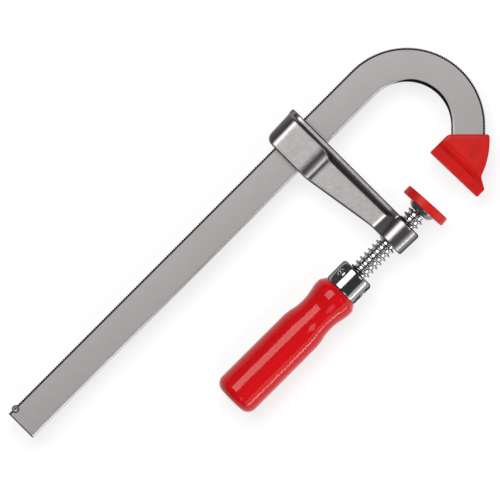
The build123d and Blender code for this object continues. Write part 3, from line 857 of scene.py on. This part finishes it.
# %% Sliding arm sizes
arm_low, arm_high = node_box("sliding_arm")
arm_face_x = arm_high.x
head_back_x = arm_low.x
HEAD_HALF = 6.0
HEAD_CORNER = 3.5
HEAD_CORNER_DROP = 3.9
HEAD_CORNER_REACH = 1.9
HEAD_CROWN_FLAT = 2.3
HEAD_CROWN_REACH = 0.8
STEP_BELOW_RAIL = -1.1
HEAD_DRAFT_Y = 0.975
HEAD_DRAFT_Z = 0.9
DRAFT_STEPS = 9
WEB_HALF = 2.6
WEB_BACK_EDGE_Y = 45.4
STEP_TILT = 43.5
STEP_ROUND = 7.5
STEP_FILLET = 3.2
BOSS_RADIUS = 7.6
BOSS_SETBACK = 0.3
BOSS_LENGTH = 11.9
BOSS_TAPER = 0.35
BOSS_EDGE_ROUND = 1.1
BOSS_WALL_TILT = 32.0
BOSS_WALL_FILLET = 3.0
BOSS_WALL_SINK = 0.45
RIM_STRIP = 2.3
RIM_SLOPE = 2.0
RIM_SLOPE_DROP = 3.6
RIM_HEAD_HALF = 7.45
RIM_BOSS_HALF = 5.2
SLOT_PLAY = 0.3
BORE_RADIUS = 4.9
CORE_SETBACK = 0.15
CROWN_PROUD = 0.3
CUT_MARGIN = 1.0
SIDE_VIEW_HALF = 12.0
head_top = arm_high.y - CROWN_PROUD
head_back_top = WEB_BACK_EDGE_Y + (head_top - WEB_BACK_EDGE_Y) * HEAD_DRAFT_Y + 0.1
crown_top = arm_high.y
boss_front_x = arm_face_x - BOSS_SETBACK
boss_back_x = boss_front_x - BOSS_LENGTH
print("arm from x", round(head_back_x, 2), "to", round(arm_face_x, 2), "top", round(crown_top, 2))

# %% Sliding arm section and side view
step_top = rail_mid_y - RAIL_WIDTH / 2 - STEP_BELOW_RAIL
step_drop = HEAD_HALF - WEB_HALF
step_run = step_drop / tan(radians(STEP_TILT))
head_corner_y = step_top - reach_of(STEP_ROUND, STEP_TILT)
web_corner_y = head_corner_y - step_run
wall_tilt = radians(BOSS_WALL_TILT)
wall_radius = BOSS_RADIUS - BOSS_WALL_SINK
wall_top = (wall_radius * sin(wall_tilt), wall_radius * cos(wall_tilt))
wall_foot_y = wall_top[0] + (wall_top[1] - WEB_HALF) / tan(wall_tilt)
half_section = [
    (wall_top[0], wall_top[1], 0.0),
    (wall_foot_y, WEB_HALF, reach_of(BOSS_WALL_FILLET, BOSS_WALL_TILT)),
    (web_corner_y, WEB_HALF, reach_of(STEP_FILLET, STEP_TILT)),
    (head_corner_y, HEAD_HALF, reach_of(STEP_ROUND, STEP_TILT)),
    (head_top - HEAD_CORNER_DROP, HEAD_HALF, HEAD_CORNER_REACH),
    (head_top, HEAD_CROWN_FLAT, HEAD_CROWN_REACH),
]
mirrored_half = [(y, -z, reach) for y, z, reach in reversed(half_section)]
core_front_x = arm_face_x - CORE_SETBACK
core_length = arm_face_x - head_back_x + CUT_MARGIN
core = plate(half_section + mirrored_half, place=lambda y, z: Vector((core_front_x, y, z)))
raised(core, Vector((-core_length, 0, 0)))
for step in range(1, DRAFT_STEPS):
    sliced(core, (core_front_x - core_length * step / DRAFT_STEPS, 0, 0), (1, 0, 0))
for vert in core.verts:
    share = (core_front_x - vert.co.x) / core_length
    vert.co.y = WEB_BACK_EDGE_Y + (vert.co.y - WEB_BACK_EDGE_Y) * (1 - (1 - HEAD_DRAFT_Y) * share)
    vert.co.z *= 1 - (1 - HEAD_DRAFT_Z) * share
side_view = raised(plate([
    (boss_front_x, 0.0, 0.0),
    (boss_front_x, 6.0, 0.0),
    (arm_face_x + CUT_MARGIN, 9.0, 0.0),
    (arm_face_x + CUT_MARGIN, crown_top + CUT_MARGIN, 0.0),
    (head_back_x + HEAD_CORNER, crown_top + CUT_MARGIN, 0.0),
    (head_back_x + HEAD_CORNER, head_back_top, 0.0),
    (head_back_x, head_back_top, HEAD_CORNER - 0.05),
    (head_back_x, WEB_BACK_EDGE_Y, 2.5),
    (boss_back_x, BOSS_RADIUS + BOSS_WALL_FILLET, 1.6),
    (boss_back_x, 0.0, 0.0),
], place=lambda x, y: Vector((x, y, -SIDE_VIEW_HALF))), Vector((0, 0, 2 * SIDE_VIEW_HALF)))
core = combined(core, side_view, "INTERSECT")
print("arm core faces", len(core.faces))

# %% [markdown]
# The rim is a flat strip along the hook's side of the arm, a little wider than the head,
# with a steep slope down to the web: its back face is extruded once more and drawn in. The
# boss is turned. The slot for the rail and the screw's hole are cut before the edges are
# softened, as the die leaves them.

# %% Sliding arm rim, boss, slot and hole
BOSS_STEPS = 72
rim = raised(plate([
    (0.0, -RIM_BOSS_HALF, 0.0),
    (0.0, RIM_BOSS_HALF, 0.0),
    (crown_top, RIM_HEAD_HALF, RIM_HEAD_HALF - 0.02),
    (crown_top, -RIM_HEAD_HALF, RIM_HEAD_HALF - 0.02),
], place=lambda y, z: Vector((arm_face_x, y, z))), Vector((-RIM_STRIP, 0, 0)))
back_face = min(rim.faces, key=lambda face: face.calc_center_median().x)
sloped = bmesh.ops.extrude_discrete_faces(rim, faces=[back_face])["faces"][0]
arc_centre_y = crown_top - RIM_HEAD_HALF
shrink = 1 - RIM_SLOPE_DROP / RIM_HEAD_HALF
for vert in sloped.verts:
    vert.co.x -= RIM_SLOPE
    if vert.co.y > arc_centre_y - MERGE:
        vert.co.y = arc_centre_y + (vert.co.y - arc_centre_y) * shrink
        vert.co.z *= shrink
    else:
        vert.co.z *= 1 - RIM_SLOPE_DROP / RIM_BOSS_HALF
boss = turned([
    (boss_back_x, BOSS_RADIUS - BOSS_TAPER, 0.3),
    (boss_front_x, BOSS_RADIUS, BOSS_EDGE_ROUND),
], BOSS_STEPS)
hole = turned([
    (boss_back_x - 1.0, BORE_RADIUS + 1.7, 0.0),
    (boss_back_x + 0.7, BORE_RADIUS, 0.0),
    (boss_front_x - 0.7, BORE_RADIUS, 0.0),
    (boss_front_x + 1.0, BORE_RADIUS + 1.7, 0.0),
], BOSS_STEPS)
slot_half_width = half_width + SLOT_PLAY
slot_half = rail_half + SLOT_PLAY
slot_low = Vector((head_back_x - CUT_MARGIN, rail_mid_y - slot_half_width, -slot_half))
slot_high = Vector((arm_face_x + CUT_MARGIN, rail_mid_y + slot_half_width, slot_half))
slot = bmesh.new()
bmesh.ops.create_cube(slot, size=1.0)
bmesh.ops.scale(slot, vec=slot_high - slot_low, verts=slot.verts)
bmesh.ops.translate(slot, vec=(slot_high + slot_low) / 2, verts=slot.verts)
arm = core
for tool, operation in (
    (rim, "UNION"), (boss, "UNION"), (slot, "DIFFERENCE"), (hole, "DIFFERENCE"),
):
    arm = combined(arm, tool, operation)
print("arm solid: faces", len(arm.faces))

# %% Sliding arm skin
CAST_VOXEL = 0.27
CAST_SMOOTHING = 12
arm = soft_skin(arm, CAST_VOXEL, CAST_SMOOTHING)
to_piece(arm, "cast_arm", "sliding_arm", cast_zinc, sharp_angle=60.0)

# %% [markdown]
# The screw's thread is rolled, so its crests and roots are both rounded. A wire with every
# thread of the screw on it is turned once about the axis while it moves on by one pitch, so
# that each crest ends where the next one began. Merging joins them, and two cuts trim the
# ragged ends, which are then filled.

# %% Threaded spindle
THREAD_RADIUS = 4.65
THREAD_ROOT = 3.42
THREAD_PITCH = 2.5
THREAD_STEPS = 64
THREAD_MERGE = 0.002
CREST_AT = -26.54
CREST_HALF = 0.3
CREST_ROUND = 0.28
ROOT_HALF = 0.74
ROOT_ROUND = 0.3
END_CHAMFER = 0.5
END_PROUD = 0.1
ball_low, ball_high = node_box("spindle_ball")
spindle_front_x = ball_low.x
ferrule_low, ferrule_high = node_box("ferrule")
ferrule_front_x = ferrule_high.x
grip_front_x = ferrule_low.x
crest = CREST_AT - THREAD_PITCH * (int((CREST_AT - grip_front_x) / THREAD_PITCH) + 2)
corners = []
while crest < spindle_front_x + THREAD_PITCH:
    root = crest + THREAD_PITCH / 2
    corners += [
        (crest - CREST_HALF, THREAD_RADIUS, CREST_ROUND),
        (crest + CREST_HALF, THREAD_RADIUS, CREST_ROUND),
        (root - ROOT_HALF, THREAD_ROOT, ROOT_ROUND),
        (root + ROOT_HALF, THREAD_ROOT, ROOT_ROUND),
    ]
    crest += THREAD_PITCH
thread = wire(corners, segments=3)
bmesh.ops.spin(
    thread, geom=thread.verts[:] + thread.edges[:], cent=(0, 0, 0), axis=(1, 0, 0),
    dvec=(THREAD_PITCH / THREAD_STEPS, 0, 0), angle=2 * pi, steps=THREAD_STEPS,
    use_merge=False, use_normal_flip=False, use_duplicate=False,
)
bmesh.ops.remove_doubles(thread, verts=thread.verts, dist=THREAD_MERGE)
for end_x, outwards in ((grip_front_x, -1.0), (spindle_front_x, 1.0)):
    cut = sliced(thread, (end_x, 0, 0), (outwards, 0, 0), clear_outer=True)
    rim_edges = [part for part in cut["geom_cut"] if isinstance(part, bmesh.types.BMEdge)]
    bmesh.ops.contextual_create(thread, geom=rim_edges)
for vert in thread.verts:
    from_end = max(0.0, spindle_front_x - vert.co.x)
    allowed = THREAD_ROOT + END_PROUD + from_end * (THREAD_RADIUS - THREAD_ROOT) / END_CHAMFER
    radius = vert.co.yz.length
    if radius > allowed:
        vert.co.y *= allowed / radius
        vert.co.z *= allowed / radius
to_piece(thread, "threaded_spindle", "spindle", screw_steel, sharp_angle=50.0)
ball_stud = frame["nodes"]["spindle_ball"]
# The ball stud takes the darkened steel, as painted shade in that gap.
ball_stud.material_slots[0].material = ball_shade_steel.material
print("ball stud's finish:", ball_stud.material_slots[0].material.name)

# %% [markdown]
# The ferrule is a drawn steel cup pressed over the handle's nose. At each of three stakes
# the wall is pressed flat along a shallow curve, and a punch leaves a pit inside a raised
# ring. The sleeve is spun with small faces, and its outer vertices are then moved the way
# the press and the punch move the metal.

# %% Staked ferrule
FERRULE_RADIUS = 8.25
FERRULE_WALL = 1.0
FERRULE_EDGE = 1.5
FERRULE_HOLE = 4.8
FERRULE_CELL = 0.2
STAKE_ANGLES = (47.0, 167.0, 287.0)
STAKE_FROM_FRONT = 5.2
STAKE_RADIUS = 1.5
STAKE_PROUD = 0.1
PIT_RADIUS = 0.85
PIT_DEPTH = 0.75
FLAT_DEPTH = 0.42
FLAT_LENGTH = 13.0
LIP_LENGTH = 0.9
LIP_DROP = 0.3
LIP_CURVE = 1.5
RING_EDGE = 0.5
RING_EASE = 0.7
PIT_EDGE = 0.1
inner_radius = FERRULE_RADIUS - FERRULE_WALL
cells = round((ferrule_front_x - FERRULE_EDGE - grip_front_x) / FERRULE_CELL)
outer_line = []
for cell in range(cells):
    from_lip = (ferrule_front_x - FERRULE_EDGE - 0.1 - grip_front_x) * cell / cells
    drop = LIP_DROP * max(0.0, 1 - from_lip / LIP_LENGTH) ** LIP_CURVE
    outer_line.append((grip_front_x + from_lip, FERRULE_RADIUS - drop, 0.0))
sleeve = spun(wire(outer_line + [
    (ferrule_front_x, FERRULE_RADIUS, FERRULE_EDGE),
    (ferrule_front_x, FERRULE_HOLE, 0.15),
    (ferrule_front_x - FERRULE_WALL, FERRULE_HOLE, 0.0),
    (ferrule_front_x - FERRULE_WALL, inner_radius, 0.6),
    (grip_front_x, inner_radius, 0.0),
    (grip_front_x, FERRULE_RADIUS - LIP_DROP, 0.0),
]), steps=round(2 * pi * FERRULE_RADIUS / FERRULE_CELL))
stake_x = ferrule_front_x - STAKE_FROM_FRONT
press_radius = (FLAT_LENGTH / 2) ** 2 / (2 * FLAT_DEPTH)
for angle in STAKE_ANGLES:
    outward = Vector((0.0, cos(radians(angle)), sin(radians(angle))))
    for vert in sleeve.verts:
        height = vert.co.dot(outward)
        if height < inner_radius or vert.co.yz.length < inner_radius + 0.2:
            continue
        along = vert.co.x - stake_x
        sideways = (vert.co - outward * height).yz.length
        floor_height = FERRULE_RADIUS - FLAT_DEPTH + along * along / (2 * press_radius)
        if height > floor_height:
            vert.co -= outward * (height - floor_height)
        away = (along * along + sideways * sideways) ** 0.5
        raise_by = STAKE_PROUD + FLAT_DEPTH * 0.5
        ring = eased((STAKE_RADIUS + RING_EDGE - away) / RING_EASE) * raise_by
        pit = eased((PIT_RADIUS + PIT_EDGE - away) / PIT_RADIUS) * PIT_DEPTH
        vert.co += outward * (ring - pit)
to_piece(sleeve, "staked_ferrule", "ferrule", polished_steel, sharp_angle=50.0)

# %% [markdown]
# The grip is turned beech. Its wire has only the corners of the turned profile, and long
# reaches melt them into the waist and the bulge where the fingers close. Its nose fills the
# ferrule, and a blind hole takes the spindle. Dipped lacquer isn't perfectly even, so a slow
# noise moves the surface by a few hundredths of a millimetre.

# %% Wooden grip
GRIP_RADIUS = 10.3
GRIP_CELL = 0.9
RIPPLE = 0.035
RIPPLE_LENGTH = 9.0
RIPPLE_WIDTH = 3.2
grip_low = node_box("handle")[0]
nose_front_x = ferrule_front_x - FERRULE_WALL - 0.05
grip = wire([
    (grip_low.x, 0.0, 0.0),
    (grip_low.x + 0.1, 3.0, 1.5),
    (grip_low.x + 0.7, GRIP_RADIUS - 0.05, 4.2),
    (-93.9, GRIP_RADIUS - 0.15, 2.6),
    (-85.9, 8.22, 4.6),
    (-76.0, 10.32, 1.9),
    (-73.5, 10.08, 0.12),
    (grip_front_x, 8.45, 0.15),
    (grip_front_x, inner_radius - 0.05, 0.0),
    (nose_front_x, inner_radius - 0.05, 0.3),
    (nose_front_x, FERRULE_HOLE, 0.0),
    (grip_front_x, FERRULE_HOLE, 0.0),
    (grip_front_x, 0.0, 0.0),
], segments=12)
for edge in [edge for edge in grip.edges if edge.calc_length() > 2 * GRIP_CELL]:
    if edge.verts[0].co.x < grip_front_x - 1:
        bmesh.ops.subdivide_edges(grip, edges=[edge], cuts=int(edge.calc_length() / GRIP_CELL))
spun(grip)
for vert in grip.verts:
    x, y, z = vert.co
    radius = vert.co.yz.length
    if x < grip_front_x - 0.1 and radius > 6.0:
        where = Vector((x / RIPPLE_LENGTH, y / RIPPLE_WIDTH, z / RIPPLE_WIDTH))
        moved = 1.0 + RIPPLE * noise.noise(where) / radius
        vert.co.y *= moved
        vert.co.z *= moved
to_piece(grip, "wooden_grip", "handle", lacquered_wood)

# %% [markdown]
# The pressure plate is a steel disc with a bowl behind it, crimped round the spindle's ball,
# and a moulded cap that snaps over the disc. Both are spun straight on the axis and then
# tilted together about the ball, as they hang in the photograph.

# %% Swivelling plate and its cap
PLATE_TILT = 3.2
PLATE_FACE = -16.2
CAP_RADIUS = 11.15
CAP_FRONT_WALL = 1.0
CAP_RIM_WALL = 1.1
CAP_LIP = 1.0
CAP_LIP_RADIUS = 7.0
CAP_ROUND = 0.45
DISC_THICKNESS = 2.0
BALL_RADIUS = 2.5
BALL_GAP = 0.15
BOWL_BACK_RADIUS = 4.05
BOWL_FOOT_RADIUS = 6.6
BOWL_MOUTH_RADIUS = 2.2
FIT = 0.05
ball_x = ball_high.x - BALL_RADIUS
disc_front_x = PLATE_FACE - CAP_FRONT_WALL
disc_back_x = disc_front_x - DISC_THICKNESS
disc_radius = CAP_RADIUS - CAP_RIM_WALL
bowl_back_x = ball_x - 2.45
cavity = BALL_RADIUS + BALL_GAP
disc = turned([
    (disc_front_x - FIT, disc_radius, 0.2),
    (disc_back_x, disc_radius, 0.2),
    (disc_back_x, BOWL_FOOT_RADIUS + 0.1, 0.25),
    (disc_back_x - 2.4, BOWL_FOOT_RADIUS - 0.1, 2.2),
    (bowl_back_x, BOWL_BACK_RADIUS + 0.2, 0.7),
    (bowl_back_x, BOWL_MOUTH_RADIUS, 0.15),
    (ball_x - 1.45, BOWL_MOUTH_RADIUS + 0.02, 0.1),
    (ball_x, cavity + 0.1, 1.3),
    (ball_x + cavity, cavity, 2.3),
])
cap_back_x = disc_back_x - FIT - CAP_LIP
cap = turned([
    (PLATE_FACE, CAP_RADIUS - 0.12, CAP_ROUND),
    (cap_back_x, CAP_RADIUS, CAP_ROUND),
    (cap_back_x, CAP_LIP_RADIUS, 0.25),
    (disc_back_x - FIT, CAP_LIP_RADIUS + 0.1, 0.0),
    (disc_back_x - FIT, disc_radius + FIT, 0.0),
    (disc_front_x, disc_radius + FIT, 0.0),
])
tilt = Matrix.Rotation(radians(PLATE_TILT), 3, "Z")
for tilted in (disc, cap):
    bmesh.ops.rotate(tilted, cent=(ball_x, 0, 0), matrix=tilt, verts=tilted.verts)
to_piece(disc, "swivel_disc", "swivel_plate", black_steel)
to_piece(cap, "disc_cap", "plate_cap", red_plastic)

# %% [markdown]
# The clamp lies flat on a large pale floor. The floor is plain and diffuse and keeps the
# clamp's shadow, with a little light of its own for rays from the camera or from a
# reflection, which lifts it to white as in a catalogue picture.

# %% Floor
FLOOR_HALF = 3.0
FLOOR_GAP = 0.0002
FLOOR_GLOW = 0.74
WHITE = (1.0, 1.0, 1.0, 1.0)
sheet = bmesh.new()
bmesh.ops.create_grid(sheet, x_segments=1, y_segments=1, size=FLOOR_HALF)
bmesh.ops.translate(sheet, vec=(0, 0, cad_low[2] - FLOOR_GAP), verts=sheet.verts)
floor = linked("floor", mesh_from(sheet, "floor"))
paper = Finish(
    "pale_paper", (0.32, 0.32, 0.32), 0.0, 0.9, Specular_IOR_Level=0.0, Emission_Color=WHITE,
)
rays = paper.tree.nodes.new("ShaderNodeLightPath").outputs
seen_rays = [rays["Is Camera Ray"], rays["Is Glossy Ray"], rays["Is Transmission Ray"]]
glow = maths(paper.tree, "MULTIPLY", maths(paper.tree, "MAXIMUM", *seen_rays), FLOOR_GLOW)
paper.tree.links.new(glow, paper.shader.inputs["Emission Strength"])
floor.data.materials.append(paper.material)
print("floor at z", round(cad_low[2] - FLOOR_GAP, 4))

# %% [markdown]
# The light is that of a small product studio. One long softbox leans over the rail's side
# and draws the bright line along every barrel, a little off its top. A lower strip on the
# other side gives the second, softer line, and a thin one close to the floor lights the
# slope under the arm's head. Two small lamps beyond the ends fill the hook and the handle's
# nose. The walls are dim, so that polished steel has something dark to show.

# %% Lamps and world
LAMP_DISTANCE = 1.2


def softbox(name, tilt, bearing, length, width, power, shift=0.0):
    """An area lamp tilt degrees off straight up, turned from +Y by bearing, moved along X by shift."""
    light = bpy.data.lights.new(name, "AREA")
    light.shape = "RECTANGLE"
    light.size = length
    light.size_y = width
    light.energy = power
    lamp = linked(name, light)
    lamp.rotation_euler = (-radians(tilt), 0.0, radians(bearing))
    lamp.visible_camera = False
    lamp.location = centre + lamp.rotation_euler.to_matrix() @ Vector((0.0, 0.0, LAMP_DISTANCE))
    lamp.location.x += shift
    print(name, "at", [round(part, 2) for part in lamp.location])


centre = Vector((-0.0862, 0.0406, 0.0))
softbox("main_softbox", 26.0, 0.0, 1.05, 0.77, 12.4, shift=0.22)
softbox("low_strip", 68.0, 180.0, 1.6, 0.4, 2.3)
softbox("edge_strip", 84.0, 180.0, 1.6, 0.14, 6.5)
softbox("hook_end_lamp", 43.0, -137.0, 0.5, 0.5, 2.4)
softbox("handle_end_lamp", 43.0, 137.0, 0.5, 0.5, 1.2)
world = bpy.data.worlds.new("dim_studio")
bpy.context.scene.world = world
world.use_nodes = True
set_values(world.node_tree.nodes["Background"], Color=WHITE, Strength=0.09)

# %% [markdown]
# The photograph was taken straight down with a long lens, and the clamp lies across it at
# 45 degrees. The camera's turn about Z gives that diagonal, so the clamp stays straight.

# %% Camera
FIELD = 0.2186
CAMERA_DISTANCE = 4.0
SENSOR_WIDTH = 36.0
camera_data = bpy.data.cameras.new("camera")
camera_data.sensor_width = SENSOR_WIDTH
camera_data.lens = SENSOR_WIDTH * CAMERA_DISTANCE / FIELD
camera_data.clip_end = 20.0
camera = linked("camera", camera_data)
camera.location = centre + Vector((0.0, 0.0, CAMERA_DISTANCE))
camera.rotation_euler = (0.0, 0.0, radians(-45.0))
bpy.context.scene.camera = camera
bpy.context.scene.view_settings.view_transform = "Standard"
print("camera lens", round(camera_data.lens, 1), "mm")

# %% [markdown]
# The imported clamp's box is printed. The dressed clamp has to stay inside the imported
# one's box.

# %% Sizes
print("packed box", cad_low, cad_high)
